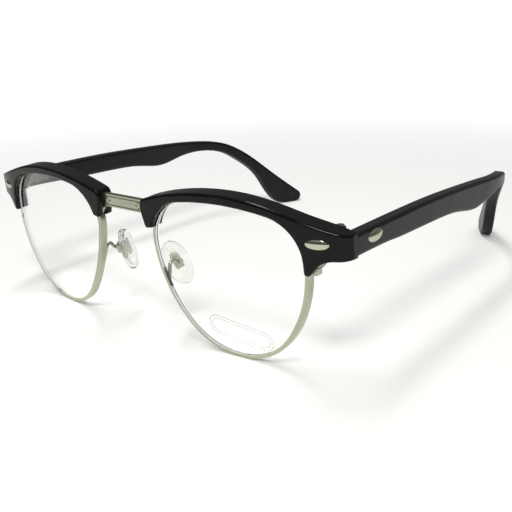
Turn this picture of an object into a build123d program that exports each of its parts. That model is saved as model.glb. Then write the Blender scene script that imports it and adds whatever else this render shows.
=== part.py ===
"""Browline eyeglasses: plastic brows over full metal eyewires, with folding temples.

The origin is the centre of the bridge bar. +X is the wearer's left, +Y runs back along
the temples and +Z is up. The glasses stand open on their eyewires and temple tips.
The front leans forward by front_tilt, so its pieces are drawn in its own directions:
u across, v up the front and w straight back through it, from a datum on the lens line.
Every piece of the wearer's left side is mirrored to make the right side.
"""
import os
from math import atan2, cos, degrees, hypot, radians, sin, sqrt, tan

from build123d import *

# ---- overall sizes (millimetres and degrees) ----
front_tilt = 4.5            # top of the front leans forward
face_form = 5.3             # each lens turns back at its outer side
lens_centre = 35.05         # half the distance between the lens centres
temple_face = 69.3          # outer face of a temple at its hinge, from the middle
bend_back = 107.5           # joint to the ear bend, measured straight back
ear_length = 35.0           # ear bend to the back of the tip

# ---- lens and eyewire ----
lens_base_radius = 135.0
lens_thickness = 2.0
corner_circles = ((11.4, 6.8, 11.3), (-11.6, 7.2, 11.5), (1.2, -3.4, 19.2))
side_radii = (74.8, 43.7, 33.0)     # top, nose side, outer side
rim_width = 1.15
rim_front = 0.05            # rim edges, behind the lens front
rim_back = 1.95
bevel_height = 0.45
bevel_front = 0.65
bevel_back = 1.35
lens_gap = 0.04
rim_split = 0.3

# ---- bridge ----
bridge_v = 15.5
bridge_w = 1.0
bridge_tall = 3.7
bridge_thick = 1.6
foot_nose_u = 9.2
foot_low_v = 11.0
groove_inset = 0.6
groove_width = 0.3
groove_depth = 0.2
groove_half_length = 7.0
dot_radius = 0.3

# ---- brow ----
brow_lip = 1.55             # plastic ahead of the rim
brow_back_lip = 1.55        # plastic behind the rim
channel_gap = 0.06
brow_reveal = 0.25          # brow edge outside the lens outline
brow_nose_u = 8.3
brow_end_top = 14.4         # brow height where it meets the temple
brow_end_low = 8.3
brow_round = 0.7
end_front = 5.3             # depth of the brow's front face where its outer corner starts
brow_crest = ((22, 21.45), (36, 22.4), (50, 20.4), (58.5, 17.9))   # top edge, over the lens
brow_notch = (61.1, 6.1)    # where the lower edge turns down to the brow's tip
brow_flank = 2.6            # from there to the tip
brow_nose_low = 10.0        # lowest point beside the bridge

# ---- hinge ----
joint_w = 10.1              # back face of the brow's end, where the temple butts
joint_gap = 0.1
hinge_u = 63.6
hinge_setback = 1.75        # hinge axis behind the joint face
hinge_v = 12.0
knuckle_radius = 1.45
knuckle_tall = 1.8
knuckle_gap = 0.06
leaf_thick = 1.0
leaf_tall = 4.4
hinge_pin_radius = 0.6
hinge_bore_gap = 0.04
hinge_head_radius = 1.1
hinge_head_tall = 0.5
front_leaf_nose_u = 58.8
temple_leaf_length = 11.5
temple_leaf_front = 1.2     # leaf's front end behind the joint
temple_leaf_low = 34.1      # leaf's lower edge above the table
temple_leaf_tall = 3.6

# ---- studs ----
front_stud_u = 62.0
front_stud_size = (6.6, 3.0)
temple_stud_back = 8.2
temple_stud_drop = 0.65     # stud below the hinge's middle
temple_stud_size = (6.8, 3.3)
stud_dome = 0.75
stud_sink = 0.15
stud_pin_radius = 0.45
stud_pin_spread = 1.6
stud_root = 1.0             # least depth of the pins under a front stud

# ---- temple ----
temple_thick = 4.0
temple_round = 1.0
temple_splay = 1.8          # degrees that the straight part opens outward
ear_turn = 26.0             # degrees that the ear piece turns inward
ear_turn_radius = 70.0
ear_turn_lead = 10.0        # where the straight stretches would cross, ahead of the bend
temple_deep = 5.9           # upper to lower edge at the joint
tip_shoulder = 5.0          # upper edge above the table at the back of the tip
tip_sole = 6.5              # back of the tip to the front of its flat
toe_reach = 4.8

# ---- rim lock and screws ----
lock_v = 6.2
lock_out = 2.7
lock_tall = 1.6
lock_front = 0.3
lock_back = 1.9
lock_screw_radius = 0.4
lock_head_radius = 0.7
lock_head_tall = 0.45
brow_screw_u = 10.8
brow_screw_v = 15.8
brow_screw_radius = 0.5
brow_head_radius = 0.95
brow_head_tall = 0.5
screw_gap = 0.04
slot_width = 0.25
slot_depth = 0.25

# ---- nose pads ----
pad_u = 10.9
pad_v = -3.4
pad_w = 8.6
pad_length = 15.0
pad_width = 7.6
pad_thick = 1.9
pad_edge = 0.8
pad_splay = 29.0            # back edge turns away from the nose
pad_lean = 19.0             # top edge leans forward
pad_flare = 6.0             # bottom edge turns away from the nose
insert_long = 6.0
insert_wide = 2.6
insert_thick = 0.5
stem_wide = 1.3
stem_tall = 1.5
stem_gap = 0.25
box_wall = 0.4
box_deep = 1.7
pad_screw_radius = 0.3
pad_screw_gap = 0.05
pad_head_radius = 0.6
pad_head_tall = 0.35
stem_side_gap = 0.12
stem_lift = 1.2
arm_radius = 0.5
arm_bend = 1.1
arm_angle = 203.0
arm_foot_out = 0.66         # middle of the arm's foot, outside the lens outline
arm_top_out = -0.9
arm_top_rise = 6.2
arm_top_back = 4.0
arm_straight = 1.2

os.makedirs("parts", exist_ok=True)

# ---- frames of reference ----
tilt = radians(front_tilt)
up_front = Vector(0, -sin(tilt), cos(tilt))
through_front = Vector(0, cos(tilt), sin(tilt))
datum = up_front * -bridge_v + through_front * -bridge_w
base_u = lens_centre - lens_base_radius * sin(radians(face_form))
base_w = lens_base_radius * cos(radians(face_form))


def place(u, v, w):
    """Point u across, v up and w back in the front's own directions."""
    return datum + Vector(u, 0, 0) + up_front * v + through_front * w


def front_view(w):
    """Sketch plane facing forward at depth w: x is u and y is v."""
    return Plane(origin=place(0, 0, w), x_dir=(1, 0, 0), z_dir=through_front * -1)


def plan_view(v):
    """Sketch plane facing up at height v: x is u and y is w."""
    return Plane(origin=place(0, v, 0), x_dir=(1, 0, 0), z_dir=up_front)


def lens_depth(u, v):
    """Depth w of the lens front at a point of the front view."""
    return base_w - sqrt(lens_base_radius**2 - (u - base_u) ** 2 - v**2)


base_centre = place(base_u, 0, base_w)
low_x, low_y, low_radius = corner_circles[2]
rim_low_u = lens_centre + low_x
rim_low_v = low_y - low_radius - rim_width
rest_z = place(rim_low_u, rim_low_v, lens_depth(rim_low_u, rim_low_v) + rim_front).Z
joint_y = place(0, brow_end_top, joint_w).Y
side_view = Plane(origin=(0, joint_y, rest_z), x_dir=(0, 1, 0), z_dir=(1, 0, 0))
top_view = Plane(origin=(0, joint_y, rest_z), x_dir=(1, 0, 0), z_dir=(0, 0, 1))
hinge_w = joint_w + hinge_setback


# ---- shared shapes ----
def side_centre(first, second, radius):
    """Centre of the arc that holds two circles inside it, going anticlockwise."""
    span = hypot(second[0] - first[0], second[1] - first[1])
    near = radius - first[2]
    far = radius - second[2]
    along = (near**2 - far**2 + span**2) / (2 * span)
    across = sqrt(near**2 - along**2)
    east = (second[0] - first[0]) / span
    north = (second[1] - first[1]) / span
    return first[0] + east * along - north * across, first[1] + north * along + east * across


def direction(start, end):
    """Direction from one point to another, in degrees."""
    return degrees(atan2(end[1] - start[1], end[0] - start[0]))


def lens_arc(centre, radius, start, end):
    """Anticlockwise arc about a centre given from the middle of the lens."""
    CenterArc((centre[0] + lens_centre, centre[1]), radius, start, (end - start) % 360)


def lens_outline(grow, mode=Mode.ADD):
    """Fills the lens shape, grown outward, with tangent arcs round its three corners."""
    following = corner_circles[1:] + corner_circles[:1]
    centres = [side_centre(a, b, r) for a, b, r in zip(corner_circles, following, side_radii)]
    with BuildLine() as outline:
        for i, corner in enumerate(corner_circles):
            leave = direction(centres[i], corner)
            lens_arc(corner, corner[2] + grow, direction(centres[i - 1], corner), leave)
            reach = direction(centres[i], following[i])
            lens_arc(centres[i], side_radii[i] + grow, leave, reach)
    make_face(outline.edges(), mode=mode)


def lens_shell(outer, front, back, inner=None):
    """Lens-shaped solid, or ring, between two depths behind the curved lens front."""
    with BuildPart() as shell:
        with BuildSketch(front_view(-15)):
            lens_outline(outer)
            if inner is not None:
                lens_outline(inner, Mode.SUBTRACT)
        extrude(amount=-45)
        with Locations(base_centre):
            Sphere(lens_base_radius - front, mode=Mode.INTERSECT)
            Sphere(lens_base_radius - back, mode=Mode.SUBTRACT)
    return shell.part


def stud(plane, size, pin_length):
    """Pointed-oval dome on a plane, with two rivet pins going down from it."""
    half_long = size[0] / 2
    half_wide = size[1] / 2
    turn_radius = (half_wide**2 + stud_dome**2) / (2 * stud_dome)
    axis_depth = turn_radius - stud_dome
    axis_origin = plane.offset(-axis_depth).origin
    with BuildPart() as piece:
        with BuildSketch(Plane(axis_origin, x_dir=plane.x_dir, z_dir=plane.y_dir * -1)):
            with BuildLine():
                crown = ThreePointArc((-half_long, axis_depth), (0, turn_radius), (half_long, axis_depth))
                Polyline(crown @ 1, (half_long, 0), (-half_long, 0), crown @ 0)
            make_face()
        revolve(axis=Axis(axis_origin, plane.x_dir))
        split(bisect_by=plane.offset(-stud_sink), keep=Keep.TOP)
        with BuildSketch(plane.offset(-stud_sink)):
            with Locations((-stud_pin_spread, 0), (stud_pin_spread, 0)):
                Circle(stud_pin_radius)
        extrude(amount=stud_sink - pin_length)
    return piece.part


def screw(plane, radius, length, head_radius, head_tall):
    """Slotted screw whose head stands on a plane and whose shank goes down from it."""
    with BuildPart() as piece:
        with BuildSketch(plane):
            Circle(head_radius)
        extrude(amount=head_tall)
        with BuildSketch(plane):
            Circle(radius)
        extrude(amount=-length)
        with BuildSketch(plane.offset(head_tall)):
            Rectangle(2 * head_radius + 1, slot_width)
        extrude(amount=-slot_depth, mode=Mode.SUBTRACT)
    return piece.part


# ---- lenses and eyewires ----
lens_bevel = lens_shell(bevel_height, bevel_front, bevel_back, -1)
rim_groove = lens_shell(bevel_height + lens_gap, bevel_front - lens_gap, bevel_back + lens_gap, -1)
rim_ring = lens_shell(rim_width, rim_front, rim_back, 0)
lens_body = lens_shell(-lens_gap, 0, lens_thickness)
rim_channel = lens_shell(
    rim_width + channel_gap, rim_front - channel_gap, rim_back + channel_gap, -3
)

with BuildPart() as lens:
    add(lens_body)
    add(lens_bevel)

lock_rim_u = lens_centre + corner_circles[0][0] + corner_circles[0][2] + rim_width
lock_rim_w = lens_depth(lock_rim_u, lock_v)

with BuildPart() as eyewire:
    add(rim_ring)
    add(rim_groove, mode=Mode.SUBTRACT)
    with BuildSketch(front_view(0)):
        with Locations((lock_rim_u, lock_v)):
            Rectangle(2 * rim_width + 4, rim_split)
    extrude(amount=-20, mode=Mode.SUBTRACT)

lock_low = plan_view(lock_v - rim_split / 2 - lock_tall)
lock_place = (lock_rim_u + lock_out / 2 - 0.3, lock_rim_w + (lock_front + lock_back) / 2)
lock_screw_place = (lock_rim_u + lock_out / 2, lock_rim_w + (lock_front + lock_back) / 2)

with BuildPart() as rim_lock:
    for low in (lock_v - rim_split / 2 - lock_tall, lock_v + rim_split / 2):
        with BuildSketch(plan_view(low)):
            with Locations(lock_place):
                RectangleRounded(lock_out + 0.6, lock_back - lock_front, 0.3)
            with Locations(lock_screw_place):
                Circle(lock_screw_radius + screw_gap, mode=Mode.SUBTRACT)
        extrude(amount=lock_tall)
    add(lens_shell(rim_width, rim_front - 1, rim_back + 1), mode=Mode.SUBTRACT)

lock_screw_plane = Plane(
    origin=lock_low.from_local_coords((lock_screw_place[0], lock_screw_place[1], 0)),
    x_dir=(1, 0, 0),
    z_dir=up_front * -1,
)
with BuildPart() as rim_lock_screw:
    add(screw(lock_screw_plane, lock_screw_radius, 2 * lock_tall + rim_split,
              lock_head_radius, lock_head_tall))

# ---- bridge ----
bar_top = bridge_v + bridge_tall / 2
bar_low = bridge_v - bridge_tall / 2
bridge_front = bridge_w - bridge_thick / 2
foot_end = lens_centre - 15
brow_bar_end = lens_centre - 19

with BuildPart() as bridge:
    with BuildSketch(front_view(bridge_front)):
        with BuildLine():
            Polyline((0, bar_low), (0, bar_top), (foot_end, bar_top),
                     (foot_end, foot_low_v), (foot_nose_u + 1, foot_low_v))
            flare = Line((foot_nose_u + 1, foot_low_v), (foot_nose_u, foot_low_v + 1.6))
            TangentArc(flare @ 1, (foot_nose_u - 1.4, bar_low), tangent=flare % 1)
            Line((foot_nose_u - 1.4, bar_low), (0, bar_low))
        make_face()
        lens_outline(rim_width, Mode.SUBTRACT)
        mirror(about=Plane.YZ)
    extrude(amount=-bridge_thick)
    groove_lift = bridge_tall / 2 - groove_inset
    with BuildSketch(front_view(bridge_front)):
        with Locations((0, bridge_v + groove_lift), (0, bridge_v - groove_lift)):
            Rectangle(2 * groove_half_length, groove_width)
        for side in (-1, 1):
            with Locations((side * (groove_half_length - 0.6), bridge_v)):
                with PolarLocations(3 * dot_radius, 4):
                    Circle(dot_radius)
    extrude(amount=-groove_depth, mode=Mode.SUBTRACT)
    with BuildSketch(front_view(bridge_front)):
        for side in (-1, 1):
            with Locations((side * brow_screw_u, brow_screw_v)):
                Circle(brow_screw_radius + screw_gap)
    extrude(amount=-bridge_thick, mode=Mode.SUBTRACT)


# ---- hinge ----
hinge_low = hinge_v - 1.5 * knuckle_tall
knuckle_place = (hinge_u, hinge_w)
stud_pins = ((front_stud_u - stud_pin_spread, hinge_v), (front_stud_u + stud_pin_spread, hinge_v))
temple_inner = temple_face - temple_thick


def knuckle(low, high, web_end):
    """Barrel round the hinge axis, with the web that joins it to its leaf."""
    with BuildPart() as barrel:
        with BuildSketch(plan_view(low)):
            with Locations(knuckle_place):
                Circle(knuckle_radius)
            with BuildLine() as web:
                Polyline(*web_end, close=True)
            make_face(web.edges())
            with Locations(knuckle_place):
                Circle(hinge_pin_radius + hinge_bore_gap, mode=Mode.SUBTRACT)
        extrude(amount=high - low)
    return barrel.part


front_web = (
    (hinge_u - knuckle_radius, hinge_w),
    (hinge_u - knuckle_radius, joint_w - leaf_thick / 2),
    (hinge_u + knuckle_radius, joint_w - leaf_thick / 2),
    (hinge_u + knuckle_radius, hinge_w),
)
temple_web = (
    (hinge_u, hinge_w + knuckle_radius),
    (temple_inner + leaf_thick / 2, hinge_w + knuckle_radius),
    (temple_inner + leaf_thick / 2, hinge_w - knuckle_radius / 2),
    (hinge_u, hinge_w - knuckle_radius / 2),
)
low_knuckle = knuckle(hinge_low, hinge_low + knuckle_tall - knuckle_gap, front_web)
mid_knuckle = knuckle(hinge_low + knuckle_tall, hinge_low + 2 * knuckle_tall, temple_web)
high_knuckle = knuckle(
    hinge_low + 2 * knuckle_tall + knuckle_gap, hinge_low + 3 * knuckle_tall, front_web
)

with BuildPart() as front_hinge:
    with BuildSketch(front_view(joint_w - leaf_thick)):
        with Locations(((front_leaf_nose_u + hinge_u + knuckle_radius) / 2, hinge_v)):
            RectangleRounded(hinge_u + knuckle_radius - front_leaf_nose_u, leaf_tall, 0.8)
    extrude(amount=-leaf_thick)
    add(low_knuckle)
    add(high_knuckle)
    with BuildSketch(front_view(joint_w)):
        with Locations(*stud_pins):
            Circle(stud_pin_radius)
    extrude(amount=leaf_thick, mode=Mode.SUBTRACT)

hinge_top = place(hinge_u, hinge_low + 3 * knuckle_tall, hinge_w)
with BuildPart() as hinge_screw:
    add(screw(Plane(origin=hinge_top, x_dir=(1, 0, 0), z_dir=up_front),
              hinge_pin_radius, 3 * knuckle_tall, hinge_head_radius, hinge_head_tall))

# ---- brow ----
face_end = lens_centre + 22.5
nose_front = lens_depth(lens_centre - 22, 8) + rim_front - brow_lip
top_front = lens_depth(lens_centre, 19) + rim_front - brow_lip
outer_front = lens_depth(face_end, 8) + rim_front - brow_lip
brow_deep = brow_lip + rim_back - rim_front + brow_back_lip
end_front_u = temple_face - 2.9
end_slope = atan2(end_front - outer_front, end_front_u - face_end)
stud_front_w = end_front - (end_front_u - front_stud_u) * tan(end_slope)
front_stud_plane = Plane(
    origin=place(front_stud_u, hinge_v + 0.6, stud_front_w),
    x_dir=Vector(cos(end_slope), 0, 0) + through_front * sin(end_slope),
    z_dir=Vector(sin(end_slope), 0, 0) - through_front * cos(end_slope),
)

with BuildPart() as front_stud:
    add(stud(front_stud_plane, front_stud_size, stud_root))
    with BuildSketch(front_view(joint_w)):
        with Locations(*stud_pins):
            Circle(stud_pin_radius)
    extrude(amount=joint_w - stud_front_w - 0.3)

brow_screw_seat = nose_front + brow_deep - brow_head_tall
with BuildPart() as brow_screw:
    add(screw(Plane(origin=place(brow_screw_u, brow_screw_v, brow_screw_seat),
                    x_dir=(1, 0, 0), z_dir=through_front),
              brow_screw_radius, brow_screw_seat - bridge_front + 0.6, brow_head_radius,
              brow_head_tall))


def rim_edges(solid, facing, joint_face):
    """Edges round the faces that look one way, without those on the joint's side."""
    faces = [f for f in solid.faces() if f.normal_at(f.center()).dot(facing) > 0.6]
    edges = ShapeList(e for f in faces for e in f.edges())
    outer = [e for e in edges if sum(e.is_same(other) for other in edges) == 1]
    return [e for e in outer if e.center().X < joint_face - 0.4]


with BuildPart() as brow:
    with BuildSketch(front_view(-6)):
        with BuildLine():
            crest = ThreePointArc((brow_nose_u + 0.3, 18.0), brow_crest[0], brow_crest[1])
            shoulder = TangentArc(crest @ 1, brow_crest[2], tangent=crest % 1)
            slope = TangentArc(shoulder @ 1, brow_crest[3], tangent=shoulder % 1)
            TangentArc(slope @ 1, (temple_face + 1, brow_end_top), tangent=slope % 1)
            Polyline((temple_face + 1, brow_end_top), (temple_face + 1, brow_end_low),
                     (brow_notch[0] + 4.4, brow_end_low))
            under = TangentArc((brow_notch[0] + 4.4, brow_end_low), brow_notch, tangent=(-1, 0))
            flank = Line(under @ 1, under @ 1 + under % 1 * brow_flank)
            Polyline(flank @ 1, (brow_notch[0] - 5.6, brow_notch[1] - 1.4), (40, 4), (16, 12),
                     (12.6, 10.6), (9.7, brow_nose_low), (brow_nose_u, 15.5), crest @ 0)
        make_face()
        fillet(vertices().sort_by_distance(flank @ 1)[0], 1.1)
        fillet(vertices().sort_by_distance((9.7, brow_nose_low))[0], 0.9)
        fillet(vertices().sort_by_distance(crest @ 0)[0], 1.8)
        fillet(vertices().sort_by_distance((brow_nose_u, 15.5))[0], 5)
        lens_outline(brow_reveal, Mode.SUBTRACT)
        fillet(vertices().sort_by_distance((12.4, 10.6))[0], 0.4)
        fillet(vertices().sort_by_distance((brow_notch[0] - 3.8, brow_notch[1] - 1.7))[0], 0.8)
    extrude(amount=-30)
    with BuildSketch(plan_view(-5)):
        with BuildLine():
            face = ThreePointArc((brow_nose_u - 1, nose_front), (lens_centre, top_front),
                                 (face_end, outer_front))
            cheek = TangentArc(face @ 1, (end_front_u, end_front), tangent=face % 1)
            TangentArc(cheek @ 1, (temple_face, end_front + 3.2), tangent=cheek % 1)
            Polyline((temple_face, end_front + 3.2), (temple_face, joint_w),
                     (face_end + 3.1, joint_w), (face_end, outer_front + brow_deep))
            ThreePointArc((face_end, outer_front + brow_deep),
                          (lens_centre, top_front + brow_deep),
                          (brow_nose_u - 1, nose_front + brow_deep))
            Line((brow_nose_u - 1, nose_front + brow_deep), face @ 0)
        make_face()
    extrude(amount=40, mode=Mode.INTERSECT)
    fillet(rim_edges(brow.part, through_front * -1, temple_face), brow_round)
    with BuildSketch(plan_view(brow_end_top + 0.2)):
        with BuildLine():
            Polyline((face_end - 1, outer_front + brow_deep),
                     (face_end, outer_front + brow_deep),
                     (face_end + (joint_w - outer_front - brow_deep) / tan(end_slope),
                      joint_w),
                     (temple_face, joint_w + 3), (face_end - 1, joint_w + 3), close=True)
        make_face()
    extrude(amount=10, mode=Mode.SUBTRACT)
    add(rim_channel, mode=Mode.SUBTRACT)
    with BuildSketch(front_view(bridge_front - channel_gap)):
        with BuildLine():
            Polyline((0, foot_low_v - 2), (0, bar_top + channel_gap),
                     (brow_bar_end, bar_top + channel_gap),
                     (brow_bar_end, foot_low_v - 2), close=True)
        make_face()
    extrude(amount=-bridge_thick - 2 * channel_gap, mode=Mode.SUBTRACT)
    with BuildSketch(front_view(lock_rim_w + lock_front - 0.1)):
        with Locations((lock_rim_u + lock_out / 2, lock_v - 2)):
            Rectangle(lock_out + 1.2, 2 * lock_tall + 5)
    extrude(amount=lock_front - lock_back - 0.2, mode=Mode.SUBTRACT)
    add([front_stud.part, front_hinge.part, brow_screw.part], mode=Mode.SUBTRACT)

# ---- temple ----
splay = radians(temple_splay)
turn = radians(ear_turn)
joint_top = place(0, brow_end_top, joint_w).Z - rest_z
tip_back = bend_back + ear_length
ear_start = (bend_back + 7, joint_top - 9.6)
drop = atan2(ear_start[1] - tip_shoulder, tip_back - ear_start[0])


def temple_strip(inset):
    """Plan outline of one face of the temple, inset from its outer face."""
    root = temple_face - inset / cos(splay)
    corner_back = bend_back - ear_turn_lead - inset * tan((turn + splay) / 2)
    corner = (root + corner_back * tan(splay), corner_back)
    tip = (corner[0] - 60 * sin(turn), corner_back + 60 * cos(turn))
    return (root - 8 * tan(splay), -8), corner, tip


joint_end = front_view(joint_w + joint_gap)


def runs_along(edge):
    """True for the temple's long edges, which are neither at its joint nor across it."""
    at_joint = edge.center().Y < joint_y - 7.5
    return not at_joint and edge.length > 1.5 * temple_thick


with BuildPart() as temple:
    with BuildSketch(side_view):
        with BuildLine():
            upper = Spline((-8, joint_top - 0.1), (0.15 * bend_back, joint_top),
                           (0.37 * bend_back, joint_top - 0.1), (0.6 * bend_back, joint_top - 1.1),
                           (0.89 * bend_back, joint_top - 3.4), (bend_back, joint_top - 5.8),
                           ear_start, (tip_back - 12, tip_shoulder + 12 * tan(drop)),
                           (tip_back, tip_shoulder),
                           tangents=((1, 0), (cos(drop), -sin(drop))))
            heel = TangentArc(upper @ 1, (tip_back - tip_shoulder * tan(drop / 2), 0),
                              tangent=upper % 1)
            sole = Line(heel @ 1, (tip_back - tip_sole, 0))
            toe = TangentArc(sole @ 1, (tip_back - tip_sole - toe_reach, toe_reach * tan(drop / 2)),
                             tangent=(-1, 0))
            lower = Spline(toe @ 1, (bend_back + 14.5, joint_top - 22.6),
                           (bend_back + 5.5, joint_top - 14.0), (bend_back, joint_top - 10.4),
                           (0.94 * bend_back, joint_top - 8.4), (0.87 * bend_back, joint_top - 7.6),
                           (0.76 * bend_back, joint_top - 8.4), (0.65 * bend_back, joint_top - 9.9),
                           (0.54 * bend_back, joint_top - 8.2), (0.39 * bend_back, joint_top - 7.0),
                           (0.19 * bend_back, joint_top - temple_deep - 0.5),
                           (-8, joint_top - temple_deep),
                           tangents=(toe % 1, (-1, 0)))
            Line(lower @ 1, upper @ 0)
        make_face()
    extrude(amount=temple_face + 10)
    outer_face = temple_strip(0)
    inner_face = temple_strip(temple_thick)
    with BuildSketch(top_view):
        with BuildLine():
            FilletPolyline(*outer_face, radius=ear_turn_radius)
            FilletPolyline(*inner_face, radius=ear_turn_radius - temple_thick)
            Line(outer_face[0], inner_face[0])
            Line(outer_face[2], inner_face[2])
        make_face()
    extrude(amount=60, both=True, mode=Mode.INTERSECT)
    fillet([e for e in temple.edges() if runs_along(e)], temple_round)
    split(bisect_by=joint_end, keep=Keep.BOTTOM)

stud_spot = place(temple_face, hinge_v - temple_stud_drop, joint_w + temple_stud_back)
temple_stud_plane = Plane(
    origin=(stud_spot.X + temple_stud_back * tan(splay), stud_spot.Y, stud_spot.Z),
    x_dir=(sin(splay), cos(splay), 0),
    z_dir=(cos(splay), -sin(splay), 0),
)
with BuildPart() as temple_stud:
    add(stud(temple_stud_plane, temple_stud_size, temple_thick))

with BuildPart() as temple_hinge:
    with BuildSketch(top_view.offset(temple_leaf_low)):
        with BuildLine():
            Polyline((temple_inner - 0.02, temple_leaf_front),
                     (temple_inner + leaf_thick, temple_leaf_front),
                     (temple_inner + leaf_thick + temple_leaf_length * tan(splay),
                      temple_leaf_front + temple_leaf_length),
                     (temple_inner - 0.02 + temple_leaf_length * tan(splay),
                      temple_leaf_front + temple_leaf_length), close=True)
        make_face()
    extrude(amount=temple_leaf_tall)
    add(mid_knuckle)
    add(temple_stud.part, mode=Mode.SUBTRACT)

with BuildPart() as temple_with_seats:
    add(temple.part)
    add([temple_hinge.part, temple_stud.part], mode=Mode.SUBTRACT)

# ---- nose pads ----
lean = radians(pad_lean)
flare = radians(pad_flare)
pad_spot = place(pad_u, pad_v, pad_w)
pad_up = (
    Vector(-sin(flare), 0, 0)
    + up_front * (cos(flare) * cos(lean))
    - through_front * (cos(flare) * sin(lean))
)
pad_back = Vector(sin(radians(pad_splay)), 0, 0) + through_front * cos(radians(pad_splay))
pad_back = (pad_back - pad_up * pad_back.dot(pad_up)).normalized()
pad_plane = Plane(origin=pad_spot, x_dir=pad_back, z_dir=pad_up.cross(pad_back))
stem_spot = pad_spot + pad_up * stem_lift
stem_plane = Plane(origin=stem_spot, x_dir=pad_back, z_dir=pad_plane.z_dir)
pad_rear = -pad_thick / 2
box_front = pad_rear - stem_gap
box_rear = box_front - box_deep
pivot_depth = box_front - box_deep * 0.45
box_wide = stem_wide + 2 * (stem_side_gap + box_wall)
box_tall = stem_tall + 2 * (stem_gap + box_wall)
pad_pivot = stem_plane.offset(pivot_depth).origin

with BuildPart() as nose_pad_insert:
    with BuildSketch(stem_plane.offset(pad_rear)):
        RectangleRounded(insert_wide, insert_long, 0.9)
    extrude(amount=insert_thick)
    with BuildSketch(stem_plane.offset(pad_rear)):
        Rectangle(stem_wide, stem_tall)
    extrude(amount=-(stem_gap + box_deep - box_wall - stem_side_gap))
    with BuildSketch(Plane(origin=pad_pivot, x_dir=pad_up, z_dir=pad_back)):
        Circle(pad_screw_radius + pad_screw_gap)
    extrude(amount=stem_wide, both=True, mode=Mode.SUBTRACT)

with BuildPart() as nose_pad:
    with BuildSketch(pad_plane.offset(pad_rear)):
        Ellipse(pad_width / 2, pad_length / 2)
    extrude(amount=pad_thick)
    fillet(nose_pad.edges(), pad_edge)
    add(nose_pad_insert.part, mode=Mode.SUBTRACT)

with BuildPart() as pad_screw:
    add(screw(Plane(origin=pad_pivot + pad_back * (box_wide / 2), x_dir=pad_up, z_dir=pad_back),
              pad_screw_radius, box_wide, pad_head_radius, pad_head_tall))

nose_arc = side_centre(corner_circles[1], corner_circles[2], side_radii[1])
arm_reach = side_radii[1] + arm_foot_out
arm_u = lens_centre + nose_arc[0] + arm_reach * cos(radians(arm_angle))
arm_v = nose_arc[1] + arm_reach * sin(radians(arm_angle))
arm_foot = place(arm_u, arm_v, lens_depth(arm_u, arm_v) + rim_back - 0.1)
arm_top = place(arm_u + arm_top_out, arm_v + arm_top_rise, lens_depth(arm_u, arm_v) + arm_top_back)
arm_entry = stem_plane.offset(box_rear - arm_straight).origin
arm_end = stem_plane.offset(box_rear + 0.1).origin

with BuildPart() as pad_arm:
    with BuildLine() as arm_path:
        FilletPolyline(arm_foot, arm_top, arm_entry, arm_end, radius=arm_bend)
    with BuildSketch(Plane(origin=arm_foot, z_dir=arm_path.line % 0)):
        Circle(arm_radius)
    sweep()
    with BuildSketch(stem_plane.offset(box_front)):
        Rectangle(box_wide, box_tall)
    extrude(amount=-box_deep)
    with BuildSketch(stem_plane.offset(box_front)):
        Rectangle(stem_wide + 2 * stem_side_gap, stem_tall + 2 * stem_gap)
    extrude(amount=box_wall - box_deep, mode=Mode.SUBTRACT)
    add([eyewire.part, pad_screw.part], mode=Mode.SUBTRACT)

# ---- both sides ----
pairs = {
    "brow": brow,
    "eyewire": eyewire,
    "lens": lens,
    "rim_lock": rim_lock,
    "rim_lock_screw": rim_lock_screw,
    "brow_screw": brow_screw,
    "front_stud": front_stud,
    "front_hinge": front_hinge,
    "hinge_screw": hinge_screw,
    "temple": temple_with_seats,
    "temple_stud": temple_stud,
    "temple_hinge": temple_hinge,
    "pad_arm": pad_arm,
    "nose_pad": nose_pad,
    "nose_pad_insert": nose_pad_insert,
    "pad_screw": pad_screw,
}
for name, piece in pairs.items():
    with BuildPart() as twin:
        mirror(piece.part, about=Plane.YZ)
    for side, built in (("left", piece), ("right", twin)):
        built.part.label = f"{name}_{side}"
        export_step(built.part, f"parts/{name}_{side}.step")

bridge.part.label = "bridge"
export_step(bridge.part, "parts/bridge.step")
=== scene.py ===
"""Finishes, lights and camera for a pair of browline eyeglasses.

Sizes are in metres, in the frame of the packed part: +X is the wearer's left, +Y runs back
along the temples and +Z is up, with the origin at the middle of the bridge. Colours are
linear. Every finish is a node material in object coordinates, so its grain stays at its
real size and moves with its piece.
"""

from math import cos, pi, radians, sin

import bmesh
import bpy
from bpy.props import FloatProperty, FloatVectorProperty, PointerProperty
from mathutils import Matrix, Vector
from mathutils.bvhtree import BVHTree


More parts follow.
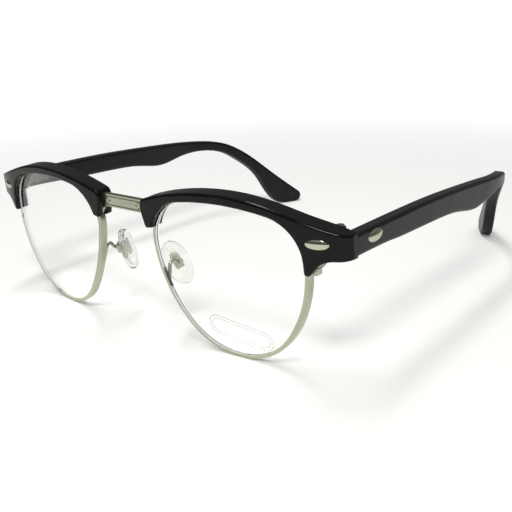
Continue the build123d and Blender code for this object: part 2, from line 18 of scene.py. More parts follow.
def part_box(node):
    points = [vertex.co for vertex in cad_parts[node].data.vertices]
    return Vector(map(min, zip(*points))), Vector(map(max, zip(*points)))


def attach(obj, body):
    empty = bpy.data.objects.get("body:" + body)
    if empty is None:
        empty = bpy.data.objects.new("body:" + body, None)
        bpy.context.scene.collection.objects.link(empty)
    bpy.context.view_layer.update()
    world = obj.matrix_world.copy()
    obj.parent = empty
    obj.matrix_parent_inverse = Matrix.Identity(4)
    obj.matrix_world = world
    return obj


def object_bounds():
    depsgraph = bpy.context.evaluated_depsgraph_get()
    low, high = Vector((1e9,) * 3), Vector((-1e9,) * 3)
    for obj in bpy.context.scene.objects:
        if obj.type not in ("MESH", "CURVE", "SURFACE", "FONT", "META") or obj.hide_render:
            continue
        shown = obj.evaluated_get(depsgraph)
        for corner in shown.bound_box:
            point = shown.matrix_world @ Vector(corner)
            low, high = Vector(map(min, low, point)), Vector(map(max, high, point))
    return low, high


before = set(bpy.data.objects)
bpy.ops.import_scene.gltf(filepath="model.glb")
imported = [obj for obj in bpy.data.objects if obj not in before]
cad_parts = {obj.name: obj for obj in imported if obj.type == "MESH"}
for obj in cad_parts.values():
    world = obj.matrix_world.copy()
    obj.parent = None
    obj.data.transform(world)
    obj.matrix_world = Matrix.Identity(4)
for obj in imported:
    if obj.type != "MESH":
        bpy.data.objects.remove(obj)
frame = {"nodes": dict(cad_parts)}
cad_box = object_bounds()

bl_info = {
    "name": "Browline Eyeglasses",
    "version": (1, 0, 0),
    "blender": (4, 5, 0),
    "location": "3D View > Sidebar > Eyeglasses",
    "description": "Finishes, lights and camera for a pair of browline eyeglasses",
    "category": "Object",
}

SIDES = ("left", "right")
LABEL_ACROSS = 0.568        # label's middle, as a share of the lens's width from the nose
LABEL_UP = 0.172            # and of its height
LABEL_TURN = radians(-9.0)  # its outer end hangs lower
LABEL_MARGIN = 0.0009       # inner line to outer line
LABEL_LINE = 0.00022        # width of a printed line
LABEL_LIFT = 0.00003        # ink on the lens
FLOOR_RADIUS = 3.0
FLOOR_MIDDLE = 0.07         # floor's middle, behind the bridge
FLOOR_GAP = 0.00002         # floor to the lowest point of the glasses
FLOOR_LIT = 0.14            # radius where the floor starts to fade to white
FLOOR_WHITE = 0.40          # radius where it is plain white to the camera
CAMERA_SHIFT = (-0.0309, -0.0845)
CAMERA_NEAR = 0.005
KEY_PLACE = Vector((0.30, -0.48, 0.68))         # from the middle of the glasses
KEY_SIZE = (0.30, 0.20)
KEY_COLOUR = (1.0, 1.0, 0.96)
OVERHEAD_PLACE = Vector((-0.12, -0.04, 0.66))   # from the middle of the glasses
OVERHEAD_SIZE = (0.45, 0.10)
OVERHEAD_COLOUR = (0.97, 1.0, 1.0)
ACRYLIC_IOR = 1.49


# ---- what a user can change ----
def colour_property(name, description, default):
    """A linear colour with the usual swatch."""
    return FloatVectorProperty(
        name=name, description=description, subtype="COLOR", default=default, min=0.0, max=1.0
    )


class EyeglassesPlastics(bpy.types.PropertyGroup):
    """Colours and gloss of the moulded pieces."""

    brow: colour_property("Brow", "Polished plastic of the brows", (0.0022, 0.0022, 0.0027))
    brow_cloud: colour_property(
        "Brow cloud", "Slightly paler streaks in the brow plastic", (0.0050, 0.0046, 0.0054)
    )
    brow_roughness: FloatProperty(
        name="Brow roughness", description="How soft the brows' reflections are",
        default=0.09, min=0.0, max=1.0, subtype="FACTOR",
    )
    temple: colour_property("Temple", "Satin plastic of the temples", (0.0045, 0.0046, 0.0050))
    temple_cloud: colour_property(
        "Temple cloud", "Paler flow marks in the temple plastic", (0.0085, 0.0087, 0.0092)
    )
    temple_roughness: FloatProperty(
        name="Temple roughness", description="How soft the temples' reflections are",
        default=0.26, min=0.0, max=1.0, subtype="FACTOR",
    )
    dust: colour_property("Dust", "Specks of dust on the plastic", (0.09, 0.09, 0.085))


class EyeglassesMetals(bpy.types.PropertyGroup):
    """Colours of the metal pieces."""

    frame: colour_property("Frame", "Polished nickel silver", (0.44, 0.44, 0.34))
    # Darker colour the frame is mixed toward, both in random tarnished blotches and as painted
    # shade in its corners and between parts.
    frame_tarnish_and_shade: colour_property("Tarnish", "Duller metal in its corners", (0.15, 0.15, 0.10))
    stud: colour_property("Stud", "Polished studs", (0.62, 0.62, 0.50))
    # Painted reflection: the hinge colour is set far darker than nickel's own, to stand in for the
    # dark surroundings the leaves reflect.
    hinge: colour_property("Hinge", "Satin nickel leaves and barrels", (0.15, 0.15, 0.13))
    screw: colour_property("Screw", "Turned steel screws", (0.40, 0.40, 0.36))


class EyeglassesClears(bpy.types.PropertyGroup):
    """Colours of the clear pieces, and the blank label on one lens."""

    lens: colour_property("Lens", "Clear lens", (0.985, 0.990, 0.985))
    pad: colour_property("Pad", "Clear soft pad", (0.93, 0.94, 0.90))
    core: colour_property("Core", "Hard core inside a pad", (0.80, 0.80, 0.76))
    label_ink: colour_property("Label ink", "Printed border of the label", (0.52, 0.53, 0.50))
    label_length: FloatProperty(
        name="Label length", description="Length of the blank label on the left lens",
        default=0.0176, min=0.005, max=0.03, unit="LENGTH",
    )
    label_height: FloatProperty(
        name="Label height", description="Height of the blank label on the left lens",
        default=0.0040, min=0.002, max=0.015, unit="LENGTH",
    )


class EyeglassesStage(bpy.types.PropertyGroup):
    """Floor, light and camera."""

    floor: colour_property("Floor", "Pale floor", (0.90, 0.905, 0.885))
    floor_glow: FloatProperty(
        name="Floor glow", description="How far the camera sees the floor paler than it is lit",
        default=0.19, min=0.0, max=1.0,
    )
    key: FloatProperty(
        name="Key lamp", description="Power of the lamp in front, at the wearer's left",
        default=3.6, min=0.0, unit="POWER",
    )
    overhead: FloatProperty(
        name="Overhead lamp", description="Power of the long lamp above", default=1.7,
        min=0.0, unit="POWER",
    )
    surround: FloatProperty(
        name="Surround", description="Brightness of the pale room", default=0.30, min=0.0
    )
    azimuth: FloatProperty(
        name="Azimuth", description="Camera's turn round the glasses", default=radians(37.36),
        subtype="ANGLE",
    )
    elevation: FloatProperty(
        name="Elevation", description="Camera's height above level", default=radians(15.38),
        subtype="ANGLE",
    )
    roll: FloatProperty(
        name="Roll", description="Camera's tilt to one side", default=radians(-1.62),
        subtype="ANGLE",
    )
    aim: FloatVectorProperty(
        name="Aim", description="Point that the camera looks at", subtype="XYZ", unit="LENGTH",
        default=(0.0, 0.06761, -0.01904),
    )
    distance: FloatProperty(
        name="Distance", description="Camera's distance from where it looks", default=0.24797,
        unit="LENGTH",
    )
    lens: FloatProperty(
        name="Camera lens", description="Focal length in millimetres", default=48.05, min=10.0,
        subtype="DISTANCE_CAMERA",
    )


# ---- building blocks for node finishes ----
def new_finish(name):
    """A material with one Principled shader, its node tree and that shader."""
    finish = bpy.data.materials.new(name)
    finish.use_nodes = True
    tree = finish.node_tree
    tree.nodes.clear()
    shader = tree.nodes.new("ShaderNodeBsdfPrincipled")
    output = tree.nodes.new("ShaderNodeOutputMaterial")
    tree.links.new(shader.outputs["BSDF"], output.inputs["Surface"])
    return finish, tree, shader


def output_of(tree):
    """The material's output node."""
    return next(n for n in tree.nodes if n.type == "OUTPUT_MATERIAL")


def seen_by_camera(tree):
    """One for rays from the camera, straight or through a clear piece."""
    path = tree.nodes.new("ShaderNodeLightPath")
    return combined(tree, "MAXIMUM", path.outputs["Is Camera Ray"],
                    path.outputs["Is Transmission Ray"])


def piece_coordinates(tree, stretch=(1.0, 1.0, 1.0), turn=(0.0, 0.0, 0.0)):
    """Coordinates of the piece in metres, stretched and turned."""
    source = tree.nodes.new("ShaderNodeTexCoord")
    mapping = tree.nodes.new("ShaderNodeMapping")
    mapping.inputs["Scale"].default_value = stretch
    mapping.inputs["Rotation"].default_value = turn
    tree.links.new(source.outputs["Object"], mapping.inputs["Vector"])
    return mapping.outputs["Vector"]


def noise(tree, vector, per_metre, detail=3.0, roughness=0.5):
    """Soft noise with so many features to the metre."""
    node = tree.nodes.new("ShaderNodeTexNoise")
    node.inputs["Scale"].default_value = per_metre
    node.inputs["Detail"].default_value = detail
    node.inputs["Roughness"].default_value = roughness
    tree.links.new(vector, node.inputs["Vector"])
    return node.outputs["Fac"]


def stretched(tree, value, start, end, low, high):
    """Value from start to end, spread over low to high."""
    node = tree.nodes.new("ShaderNodeMapRange")
    node.inputs["From Min"].default_value = start
    node.inputs["From Max"].default_value = end
    node.inputs["To Min"].default_value = low
    node.inputs["To Max"].default_value = high
    tree.links.new(value, node.inputs["Value"])
    return node.outputs["Result"]


def combined(tree, operation, first, second):
    """Two values put together by a maths operation; the second may be a number."""
    node = tree.nodes.new("ShaderNodeMath")
    node.operation = operation
    tree.links.new(first, node.inputs[0])
    if isinstance(second, float):
        node.inputs[1].default_value = second
    else:
        tree.links.new(second, node.inputs[1])
    return node.outputs["Value"]


def mixed_colours(tree, factor, first, second):
    """Colour from first to second by a factor; first may be a colour or a socket."""
    node = tree.nodes.new("ShaderNodeMix")
    node.data_type = "RGBA"
    tree.links.new(factor, node.inputs["Factor"])
    inputs = [s for s in node.inputs if s.type == "RGBA"]
    output = [s for s in node.outputs if s.type == "RGBA"][0]
    for socket, colour in zip(inputs, (first, second)):
        if isinstance(colour, bpy.types.NodeSocket):
            tree.links.new(colour, socket)
        else:
            socket.default_value = (*colour, 1.0)
    return output


def specks(tree, vector, per_metre, size):
    """One at small scattered dots, and zero between them."""
    node = tree.nodes.new("ShaderNodeTexVoronoi")
    node.inputs["Scale"].default_value = per_metre
    tree.links.new(vector, node.inputs["Vector"])
    return stretched(tree, node.outputs["Distance"], size * 0.7, size, 1.0, 0.0)


def hairlines(tree, stretch, turn, cover):
    """One along fine scratches in one direction, and zero between them."""
    lines = noise(tree, piece_coordinates(tree, stretch, turn), 1.0, 2.0, 0.6)
    return stretched(tree, lines, 1.0 - cover, 1.02 - cover, 0.0, 1.0)


def worn_edges(tree):
    """One on a piece's outside edges, and zero on its flats."""
    geometry = tree.nodes.new("ShaderNodeNewGeometry")
    return stretched(tree, geometry.outputs["Pointiness"], 0.53, 0.60, 0.0, 1.0)


def add_bump(tree, shader, height, depth, strength):
    """Relief of a real depth, from a height of zero to one."""
    node = tree.nodes.new("ShaderNodeBump")
    node.inputs["Strength"].default_value = strength
    node.inputs["Distance"].default_value = depth
    tree.links.new(height, node.inputs["Height"])
    tree.links.new(node.outputs["Normal"], shader.inputs["Normal"])


def let_lamps_through(finish, tree, shader, tint):
    """Lets light from the lamps reach what is behind a clear piece."""
    path = tree.nodes.new("ShaderNodeLightPath")
    clear = tree.nodes.new("ShaderNodeBsdfTransparent")
    clear.inputs["Color"].default_value = (*tint, 1.0)
    mix = tree.nodes.new("ShaderNodeMixShader")
    tree.links.new(path.outputs["Is Shadow Ray"], mix.inputs["Fac"])
    tree.links.new(shader.outputs["BSDF"], mix.inputs[1])
    tree.links.new(clear.outputs["BSDF"], mix.inputs[2])
    tree.links.new(mix.outputs["Shader"], output_of(tree).inputs["Surface"])
    return finish


# ---- plastics ----
def polished_brow(plastics):
    """Near-black polished plastic with faint clouds, dust and polishing marks."""
    finish, tree, shader = new_finish("polished_brow_plastic")
    plain = piece_coordinates(tree)
    clouds = stretched(tree, noise(tree, plain, per_metre=90.0, detail=4.0), 0.35, 0.7, 0.0, 1.0)
    dust = specks(tree, plain, per_metre=950.0, size=0.055)
    marks = hairlines(tree, (60.0, 900.0, 2600.0), (0.0, radians(12), radians(4)), 0.30)
    body = mixed_colours(tree, clouds, plastics.brow, plastics.brow_cloud)
    tree.links.new(mixed_colours(tree, dust, body, plastics.dust), shader.inputs["Base Color"])
    smooth = plastics.brow_roughness
    haze = noise(tree, plain, per_metre=260.0, detail=5.0)
    haze = stretched(tree, haze, 0.3, 0.7, smooth, smooth * 1.7)
    haze = combined(tree, "ADD", haze, combined(tree, "MULTIPLY", marks, 0.07))
    tree.links.new(combined(tree, "ADD", haze, combined(tree, "MULTIPLY", dust, 0.4)),
                   shader.inputs["Roughness"])
    shader.inputs["Specular IOR Level"].default_value = 0.22
    shader.inputs["IOR"].default_value = ACRYLIC_IOR
    ripple = noise(tree, plain, per_metre=420.0, detail=2.0, roughness=0.4)
    relief = combined(tree, "SUBTRACT", ripple, combined(tree, "MULTIPLY", marks, 0.06))
    add_bump(tree, shader, relief, depth=0.00003, strength=0.35)
    return finish


def satin_temple(plastics):
    """Charcoal moulded plastic with a fine satin grain and flow marks along its length."""
    finish, tree, shader = new_finish("satin_temple_plastic")
    plain = piece_coordinates(tree)
    flow = stretched(tree, noise(tree, piece_coordinates(tree, (700.0, 40.0, 260.0)), 1.0, 4.0),
                     0.35, 0.7, 0.0, 1.0)
    dust = specks(tree, plain, per_metre=700.0, size=0.05)
    body = mixed_colours(tree, flow, plastics.temple, plastics.temple_cloud)
    tree.links.new(mixed_colours(tree, dust, body, plastics.dust), shader.inputs["Base Color"])
    smooth = plastics.temple_roughness
    grain = noise(tree, plain, per_metre=5200.0, detail=2.0)
    haze = noise(tree, plain, per_metre=150.0, detail=4.0)
    haze = stretched(tree, haze, 0.3, 0.7, smooth, smooth * 1.35)
    tree.links.new(combined(tree, "ADD", haze, combined(tree, "MULTIPLY", dust, 0.3)),
                   shader.inputs["Roughness"])
    shader.inputs["Specular IOR Level"].default_value = 0.30
    shader.inputs["IOR"].default_value = ACRYLIC_IOR
    add_bump(tree, shader, grain, depth=0.000012, strength=0.45)
    return finish


# ---- metals ----
def metal(name, bright, tarnished_and_shaded, smooth, grain_stretch, grain_turn, grain_share):
    """Metal with random tarnished blotches, painted shade that darkens and roughens it in its
    corners and between parts, brighter worn edges and a directional grain.
    """
    finish, tree, shader = new_finish(name)
    plain = piece_coordinates(tree)
    # Painted shade: an occlusion test finds corners and places between parts, and there the colour
    # is mixed toward the darker one and the roughness is raised.
    corners = tree.nodes.new("ShaderNodeAmbientOcclusion")
    corners.inputs["Distance"].default_value = 0.0012
    corners.samples = 8
    shade = stretched(tree, corners.outputs["AO"], 0.35, 0.95, 1.0, 0.0)
    blotches = noise(tree, plain, per_metre=380.0, detail=5.0, roughness=0.6)
    blotches = stretched(tree, blotches, 0.4, 0.75, 0.0, 0.35)
    # The random tarnished blotches are real; the occlusion part is painted shade in the corners.
    tarnish_and_shade = combined(tree, "MAXIMUM", shade, blotches)
    colour = mixed_colours(tree, tarnish_and_shade, bright, tarnished_and_shaded)
    paler = tuple(min(1.0, c * 1.15) for c in bright)
    colour = mixed_colours(tree, worn_edges(tree), colour, paler)
    tree.links.new(colour, shader.inputs["Base Color"])
    shader.inputs["Metallic"].default_value = 1.0
    grain = noise(tree, piece_coordinates(tree, grain_stretch, grain_turn), 1.0, 3.0, 0.6)
    haze = stretched(tree, grain, 0.3, 0.7, smooth, smooth + grain_share)
    tree.links.new(combined(tree, "ADD", haze, combined(tree, "MULTIPLY", tarnish_and_shade, 0.12)),
                   shader.inputs["Roughness"])
    add_bump(tree, shader, grain, depth=0.000006, strength=0.4)
    return finish


def polished_frame(metals):
    """Bridge, eyewires, rim locks and pad arms."""
    return metal("polished_nickel_silver", metals.frame, metals.frame_tarnish_and_shade, 0.16,
                 (900.0, 900.0, 900.0), (0.0, 0.0, 0.0), 0.07)


def polished_stud(metals):
    """Mirror-bright studs."""
    # Darker colour for tarnished blotches and for painted shade in corners and between parts.
    tarnished_and_shaded = tuple(c * 0.72 for c in metals.stud)
    return metal("polished_stud_nickel", metals.stud, tarnished_and_shaded, 0.055,
                 (300.0, 300.0, 3000.0), (0.0, radians(30), 0.0), 0.05)


def satin_hinge(metals):
    """Stamped hinge leaves, with a grain along them; their colour is darkened to paint in the dark
    reflections they show.
    """
    # Darker colour for tarnished blotches and for painted shade in corners and between parts.
    tarnished_and_shaded = tuple(c * 0.55 for c in metals.hinge)
    return metal("satin_hinge_nickel_painted_dark", metals.hinge, tarnished_and_shaded, 0.26,
                 (4200.0, 260.0, 4200.0), (0.0, 0.0, 0.0), 0.14)


def turned_screw(metals):
    """Turned screws."""
    # Darker colour for tarnished blotches and for painted shade in corners and between parts.
    tarnished_and_shaded = tuple(c * 0.5 for c in metals.screw)
    return metal("turned_screw_steel", metals.screw, tarnished_and_shaded, 0.20,
                 (1500.0, 1500.0, 6000.0), (0.0, 0.0, 0.0), 0.12)


# ---- clear pieces ----
def clear_lens(clears):
    """Optical plastic with a trace of smears on its polish."""
    finish, tree, shader = new_finish("clear_lens_plastic")
    plain = piece_coordinates(tree)
    smears = stretched(tree, noise(tree, plain, per_metre=70.0, detail=4.0), 0.5, 0.8, 0.0, 1.0)
    edge_tint = tuple(c * 0.985 for c in clears.lens)
    tree.links.new(mixed_colours(tree, smears, clears.lens, edge_tint), shader.inputs["Base Color"])
    dust = specks(tree, plain, per_metre=420.0, size=0.03)
    haze = combined(tree, "ADD", combined(tree, "MULTIPLY", smears, 0.012),
                    combined(tree, "MULTIPLY", dust, 0.25))
    tree.links.new(haze, shader.inputs["Roughness"])
    shader.inputs["Transmission Weight"].default_value = 1.0
    shader.inputs["IOR"].default_value = 1.38
    return let_lamps_through(finish, tree, shader, (0.95, 0.96, 0.94))


def soft_pad(clears):
    """Clear soft plastic, slightly cloudy, with a moulded surface."""
    finish, tree, shader = new_finish("clear_pad_plastic")
    plain = piece_coordinates(tree)
    cloudy = stretched(tree, noise(tree, plain, per_metre=500.0, detail=4.0), 0.35, 0.7, 0.0, 1.0)
    deeper = tuple(c * 0.92 for c in clears.pad)
    tree.links.new(mixed_colours(tree, cloudy, clears.pad, deeper), shader.inputs["Base Color"])
    tree.links.new(stretched(tree, cloudy, 0.0, 1.0, 0.05, 0.14), shader.inputs["Roughness"])
    shader.inputs["Transmission Weight"].default_value = 1.0
    shader.inputs["IOR"].default_value = 1.42
    pores = noise(tree, plain, per_metre=1300.0, detail=3.0)
    add_bump(tree, shader, pores, depth=0.00002, strength=0.3)
    return let_lamps_through(finish, tree, shader, (0.82, 0.83, 0.80))


def pad_core(clears):
    """Satin plate that the pad is moulded round."""
    # Darker colour for tarnished blotches and for painted shade in corners and between parts.
    tarnished_and_shaded = tuple(c * 0.6 for c in clears.core)
    return metal("satin_pad_core", clears.core, tarnished_and_shaded, 0.30,
                 (2600.0, 2600.0, 2600.0), (0.0, 0.0, 0.0), 0.1)


def label_film(clears):
    """Ink of the label's border, broken up as thin print is."""
    finish, tree, shader = new_finish("label_ink")
    plain = piece_coordinates(tree)
    worn = stretched(tree, noise(tree, plain, per_metre=2600.0, detail=3.0), 0.42, 0.66, 0.0, 1.0)
    paler = tuple(c * 1.25 for c in clears.label_ink)
    tree.links.new(mixed_colours(tree, worn, clears.label_ink, paler), shader.inputs["Base Color"])
    tree.links.new(stretched(tree, worn, 0.0, 1.0, 0.35, 0.6), shader.inputs["Roughness"])
    add_bump(tree, shader, worn, depth=0.000008, strength=0.3)
    return finish


# ---- putting finishes on the packed pieces ----
def both(*names):
    """The left and right nodes of each name."""
    return [f"{name}_{side}" for name in names for side in SIDES]


def put_on(finish, nodes):
    """Gives packed nodes a finish in every material slot."""
    missing = [n for n in nodes if n not in frame["nodes"]]
    if missing:
        raise RuntimeError(f"the packed part has no node named {missing}")
    for node in nodes:
        slots = frame["nodes"][node].material_slots
        if not slots:
            frame["nodes"][node].data.materials.append(finish)
        for slot in slots:
            slot.link = "OBJECT"
            slot.material = finish


# ---- blank label on the wearer's left lens ----
def lens_front(node):
    """Finds the point of a lens's front surface at an x and z."""
    mesh = frame["nodes"][node].data
    tree = BVHTree.FromPolygons([v.co for v in mesh.vertices], [p.vertices for p in mesh.polygons])
    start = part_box(node)[0].y - 0.02

    def find(x, z):
        spot, normal, _, _ = tree.ray_cast(Vector((x, start, z)), Vector((0.0, 1.0, 0.0)))
        if spot is None:
            raise RuntimeError(f"the label leaves the lens at {x:.4f}, {z:.4f}")
        return spot, normal if normal.y < 0 else -normal

    return find


def stadium(length, height, turn, steps=14):
    """Points round a bar with round ends, about its middle and turned."""
    radius = height / 2
    points = []
    for side in (1, -1):
        for step in range(steps + 1):
            angle = side * (pi / 2) - pi * step / steps
            along = side * (length / 2 - radius) + radius * cos(angle)
            up = radius * sin(angle)
            points.append((along * cos(turn) - up * sin(turn), along * sin(turn) + up * cos(turn)))
    return points


def label_line(surface, centre, length, height, turn, width, lift):
    """Mesh of one closed printed line that lies on the lens."""
    inner = stadium(length - width, height - width, turn)
    outer = stadium(length + width, height + width, turn)
    mesh = bmesh.new()
    rings = []
    for outline in (inner, outer):
        for raised in (lift, lift * 0.4):
            ring = []
            for x, z in outline:
                spot, normal = surface(centre[0] + x, centre[1] + z)
                ring.append(mesh.verts.new(spot + normal * raised))
            rings.append(ring)
    inner_top, inner_low, outer_top, outer_low = rings
    for first, second in ((inner_top, outer_top), (outer_top, outer_low),
                          (outer_low, inner_low), (inner_low, inner_top)):
        for i in range(len(first)):
            j = (i + 1) % len(first)
            mesh.faces.new((first[i], first[j], second[j], second[i]))
    bmesh.ops.recalc_face_normals(mesh, faces=mesh.faces)
    return mesh


# ---- stage ----
def floor_finish(stage):
    """Pale matt floor that fades to plain white for the camera a little way off."""
    finish, tree, shader = new_finish("pale_floor")
    plain = piece_coordinates(tree)
    cloud = noise(tree, plain, per_metre=6.0, detail=3.0)
    dimmer = tuple(c * 0.985 for c in stage.floor)
    tree.links.new(mixed_colours(tree, cloud, stage.floor, dimmer), shader.inputs["Base Color"])
    tree.links.new(stretched(tree, cloud, 0.3, 0.7, 0.75, 0.85), shader.inputs["Roughness"])
    shader.inputs["Specular IOR Level"].default_value = 0.1
    glow = tree.nodes.new("ShaderNodeEmission")
    seen = seen_by_camera(tree)
    tree.links.new(combined(tree, "MULTIPLY", seen, stage.floor_glow), glow.inputs["Strength"])
    lit = tree.nodes.new("ShaderNodeAddShader")
    tree.links.new(shader.outputs["BSDF"], lit.inputs[0])
    tree.links.new(glow.outputs["Emission"], lit.inputs[1])
    white = tree.nodes.new("ShaderNodeEmission")
    reach = tree.nodes.new("ShaderNodeVectorMath")
    reach.operation = "LENGTH"
    tree.links.new(plain, reach.inputs[0])
    far = stretched(tree, reach.outputs["Value"], FLOOR_LIT, FLOOR_WHITE, 0.0, 1.0)
    shown = tree.nodes.new("ShaderNodeMixShader")
    tree.links.new(combined(tree, "MULTIPLY", far, seen), shown.inputs["Fac"])
    tree.links.new(lit.outputs["Shader"], shown.inputs[1])
    tree.links.new(white.outputs["Emission"], shown.inputs[2])
    tree.links.new(shown.outputs["Shader"], output_of(tree).inputs["Surface"])
    return finish


def add_floor(stage):
    """Round floor just under the lowest point of the glasses."""
    mesh = bmesh.new()
    bmesh.ops.create_circle(mesh, cap_ends=True, segments=96, radius=FLOOR_RADIUS)
    data = bpy.data.meshes.new("floor")
    mesh.to_mesh(data)
    mesh.free()
    floor = bpy.data.objects.new("floor", data)
    floor.location = (0.0, FLOOR_MIDDLE, cad_box[0].z - FLOOR_GAP)
    data.materials.append(floor_finish(stage))
    bpy.context.scene.collection.objects.link(floor)


def add_world(stage):
    """Pale room: white to the camera and through glass, dimmer at the front's level."""
    world = bpy.data.worlds.new("pale_room")
    world.use_nodes = True
    tree = world.node_tree
    tree.nodes.clear()
    source = tree.nodes.new("ShaderNodeTexCoord")
    split = tree.nodes.new("ShaderNodeSeparateXYZ")
    tree.links.new(source.outputs["Generated"], split.inputs["Vector"])
    height = stretched(tree, split.outputs["Z"], 0.10, 0.75, 0.0, 1.0)
    behind = stretched(tree, split.outputs["Y"], -0.2, 0.9, 0.0, 0.55)
    pale = combined(tree, "MAXIMUM", height, behind)
    colour = mixed_colours(tree, pale, (0.10, 0.10, 0.11), (1.0, 1.0, 0.98))
    room = tree.nodes.new("ShaderNodeBackground")
    room.inputs["Strength"].default_value = stage.surround
    tree.links.new(colour, room.inputs["Color"])
    white = tree.nodes.new("ShaderNodeBackground")
    white.inputs["Color"].default_value = (1.0, 1.0, 1.0, 1.0)
    white.inputs["Strength"].default_value = 1.0
    seen = seen_by_camera(tree)
    mix = tree.nodes.new("ShaderNodeMixShader")
    output = tree.nodes.new("ShaderNodeOutputWorld")
    tree.links.new(seen, mix.inputs["Fac"])
    tree.links.new(room.outputs["Background"], mix.inputs[1])
    tree.links.new(white.outputs["Background"], mix.inputs[2])
    tree.links.new(mix.outputs["Shader"], output.inputs["Surface"])
    bpy.context.scene.world = world


def add_lamp(name, place, aim, size, power, colour):
    """Rectangular soft lamp."""
    data = bpy.data.lights.new(name, "AREA")
    data.shape = "RECTANGLE"
    data.size, data.size_y = size
    data.energy = power
    data.color = colour
    lamp = bpy.data.objects.new(name, data)
    lamp.location = place
    lamp.rotation_euler = (Vector(aim) - Vector(place)).to_track_quat("-Z", "Y").to_euler()
    bpy.context.scene.collection.objects.link(lamp)


def add_camera(stage):
    """Camera in front of the wearer's left corner, a little above the brows."""
    az, el, roll = stage.azimuth, stage.elevation, stage.roll
    back = Vector((sin(az) * cos(el), -cos(az) * cos(el), sin(el)))
    right = Vector((cos(az), sin(az), 0.0))
    up = back.cross(right)
    across = right * cos(roll) + up * sin(roll)
    upright = up * cos(roll) - right * sin(roll)
    data = bpy.data.cameras.new("camera")
    data.lens = stage.lens
    data.shift_x, data.shift_y = CAMERA_SHIFT
    data.clip_start = CAMERA_NEAR
    camera = bpy.data.objects.new("camera", data)
    turn = Matrix((across, upright, back)).transposed().to_4x4()
    camera.matrix_world = Matrix.Translation(Vector(stage.aim) + back * stage.distance) @ turn
    bpy.context.scene.collection.objects.link(camera)
    bpy.context.scene.camera = camera


# ---- operators ----
class EYEGLASSES_OT_brows(bpy.types.Operator):
    """Give the two brows their polished black plastic"""

    bl_idname = "eyeglasses.brows"
    bl_label = "Brows"
    bl_options = {"REGISTER", "UNDO"}

    def execute(self, context):
        put_on(polished_brow(context.scene.eyeglasses_plastics), both("brow"))
        return {"FINISHED"}


class EYEGLASSES_OT_temples(bpy.types.Operator):
    """Give the two temples their satin black plastic"""

    bl_idname = "eyeglasses.temples"
    bl_label = "Temples"
    bl_options = {"REGISTER", "UNDO"}

    def execute(self, context):
        put_on(satin_temple(context.scene.eyeglasses_plastics), both("temple"))
        return {"FINISHED"}


class EYEGLASSES_OT_frame_metal(bpy.types.Operator):
    """Give the bridge, eyewires, rim locks and pad arms their polished metal"""

    bl_idname = "eyeglasses.frame_metal"
    bl_label = "Bridge and Eyewires"
    bl_options = {"REGISTER", "UNDO"}

    def execute(self, context):
        nodes = ["bridge"] + both("eyewire", "rim_lock", "pad_arm")
        put_on(polished_frame(context.scene.eyeglasses_metals), nodes)
        return {"FINISHED"}


class EYEGLASSES_OT_studs(bpy.types.Operator):
    """Give the studs on the brows and temples their mirror polish"""

    bl_idname = "eyeglasses.studs"
    bl_label = "Studs"
    bl_options = {"REGISTER", "UNDO"}

    def execute(self, context):
        put_on(polished_stud(context.scene.eyeglasses_metals), both("front_stud", "temple_stud"))
        return {"FINISHED"}


class EYEGLASSES_OT_hinges(bpy.types.Operator):
    """Give the hinge leaves their satin nickel"""

    bl_idname = "eyeglasses.hinges"
    bl_label = "Hinges"
    bl_options = {"REGISTER", "UNDO"}

    def execute(self, context):
        put_on(satin_hinge(context.scene.eyeglasses_metals), both("front_hinge", "temple_hinge"))
        return {"FINISHED"}


class EYEGLASSES_OT_screws(bpy.types.Operator):
    """Give every screw its turned steel"""

    bl_idname = "eyeglasses.screws"
    bl_label = "Screws"
    bl_options = {"REGISTER", "UNDO"}

    def execute(self, context):
        nodes = both("hinge_screw", "brow_screw", "rim_lock_screw", "pad_screw")
        put_on(turned_screw(context.scene.eyeglasses_metals), nodes)
        return {"FINISHED"}


class EYEGLASSES_OT_lenses(bpy.types.Operator):
    """Make the two lenses clear"""

    bl_idname = "eyeglasses.lenses"
    bl_label = "Lenses"
    bl_options = {"REGISTER", "UNDO"}

    def execute(self, context):
        put_on(clear_lens(context.scene.eyeglasses_clears), both("lens"))
        return {"FINISHED"}


class EYEGLASSES_OT_pads(bpy.types.Operator):
    """Make the nose pads clear round their cores"""

    bl_idname = "eyeglasses.pads"
    bl_label = "Nose Pads"
    bl_options = {"REGISTER", "UNDO"}

    def execute(self, context):
        put_on(soft_pad(context.scene.eyeglasses_clears), both("nose_pad"))
        put_on(pad_core(context.scene.eyeglasses_clears), both("nose_pad_insert"))
        return {"FINISHED"}


class EYEGLASSES_OT_label(bpy.types.Operator):
    """Print the double border of a blank label on the wearer's left lens"""

    bl_idname = "eyeglasses.label"
    bl_label = "Blank Label"
    bl_options = {"REGISTER", "UNDO"}

    def execute(self, context):
        clears = context.scene.eyeglasses_clears
        low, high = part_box("lens_left")
        centre = (low.x + (high.x - low.x) * LABEL_ACROSS, low.z + (high.z - low.z) * LABEL_UP)
        surface = lens_front("lens_left")
        ink = label_film(clears)
        for name, margin in (("inner", 0.0), ("outer", LABEL_MARGIN)):
            mesh = label_line(surface, centre, clears.label_length + 2 * margin,
                              clears.label_height + 2 * margin, LABEL_TURN, LABEL_LINE,
                              LABEL_LIFT)
            data = bpy.data.meshes.new(f"label_{name}")
            mesh.to_mesh(data)
            mesh.free()
            data.materials.append(ink)
            line = bpy.data.objects.new(f"label_{name}", data)
            context.scene.collection.objects.link(line)
            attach(line, "front")
        return {"FINISHED"}


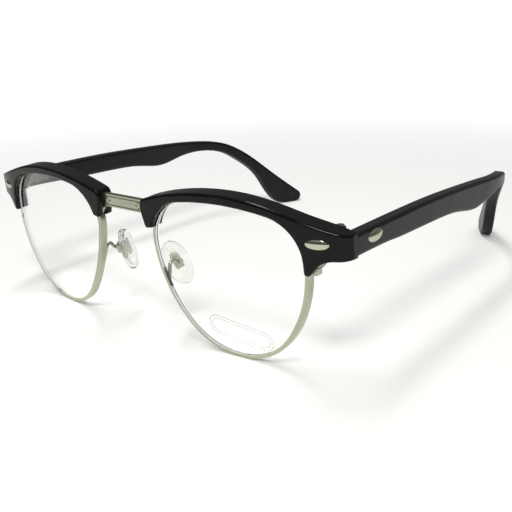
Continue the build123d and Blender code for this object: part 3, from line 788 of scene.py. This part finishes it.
class EYEGLASSES_OT_stage(bpy.types.Operator):
    """Add the floor, the pale room, the lamps and the camera"""

    bl_idname = "eyeglasses.stage"
    bl_label = "Stage"
    bl_options = {"REGISTER", "UNDO"}

    def execute(self, context):
        stage = context.scene.eyeglasses_stage
        middle = (cad_box[0] + cad_box[1]) / 2
        add_floor(stage)
        add_world(stage)
        add_lamp("key_lamp", middle + KEY_PLACE, middle, KEY_SIZE, stage.key, KEY_COLOUR)
        add_lamp("overhead_lamp", middle + OVERHEAD_PLACE, middle, OVERHEAD_SIZE,
                 stage.overhead, OVERHEAD_COLOUR)
        add_camera(stage)
        return {"FINISHED"}


class EYEGLASSES_PT_finishes(bpy.types.Panel):
    """Lists the pieces of the glasses and the values that can be changed"""

    bl_label = "Browline Eyeglasses"
    bl_space_type = "VIEW_3D"
    bl_region_type = "UI"
    bl_category = "Eyeglasses"

    def draw(self, context):
        layout = self.layout
        for operator in OPERATORS:
            layout.operator(operator.bl_idname)
        for attribute, group in GROUPS.items():
            box = layout.box()
            box.label(text=group.__doc__)
            for name in group.__annotations__:
                box.prop(getattr(context.scene, attribute), name)


GROUPS = {
    "eyeglasses_plastics": EyeglassesPlastics,
    "eyeglasses_metals": EyeglassesMetals,
    "eyeglasses_clears": EyeglassesClears,
    "eyeglasses_stage": EyeglassesStage,
}
OPERATORS = (
    EYEGLASSES_OT_brows,
    EYEGLASSES_OT_temples,
    EYEGLASSES_OT_frame_metal,
    EYEGLASSES_OT_studs,
    EYEGLASSES_OT_hinges,
    EYEGLASSES_OT_screws,
    EYEGLASSES_OT_lenses,
    EYEGLASSES_OT_pads,
    EYEGLASSES_OT_label,
    EYEGLASSES_OT_stage,
)


def register():
    """Registers the groups, the operators and the panel."""
    for attribute, group in GROUPS.items():
        bpy.utils.register_class(group)
        setattr(bpy.types.Scene, attribute, PointerProperty(type=group))
    for operator in OPERATORS:
        bpy.utils.register_class(operator)
    bpy.utils.register_class(EYEGLASSES_PT_finishes)


def unregister():
    """Takes away what register added."""
    bpy.utils.unregister_class(EYEGLASSES_PT_finishes)
    for operator in reversed(OPERATORS):
        bpy.utils.unregister_class(operator)
    for attribute, group in reversed(GROUPS.items()):
        delattr(bpy.types.Scene, attribute)
        bpy.utils.unregister_class(group)


def main():
    """Builds everything in order."""
    register()
    bpy.context.scene.view_settings.view_transform = "Standard"
    bpy.ops.eyeglasses.brows()
    bpy.ops.eyeglasses.temples()
    bpy.ops.eyeglasses.frame_metal()
    bpy.ops.eyeglasses.studs()
    bpy.ops.eyeglasses.hinges()
    bpy.ops.eyeglasses.screws()
    bpy.ops.eyeglasses.lenses()
    bpy.ops.eyeglasses.pads()
    bpy.ops.eyeglasses.label()
    bpy.ops.eyeglasses.stage()


if __name__ == "__main__":
    main()
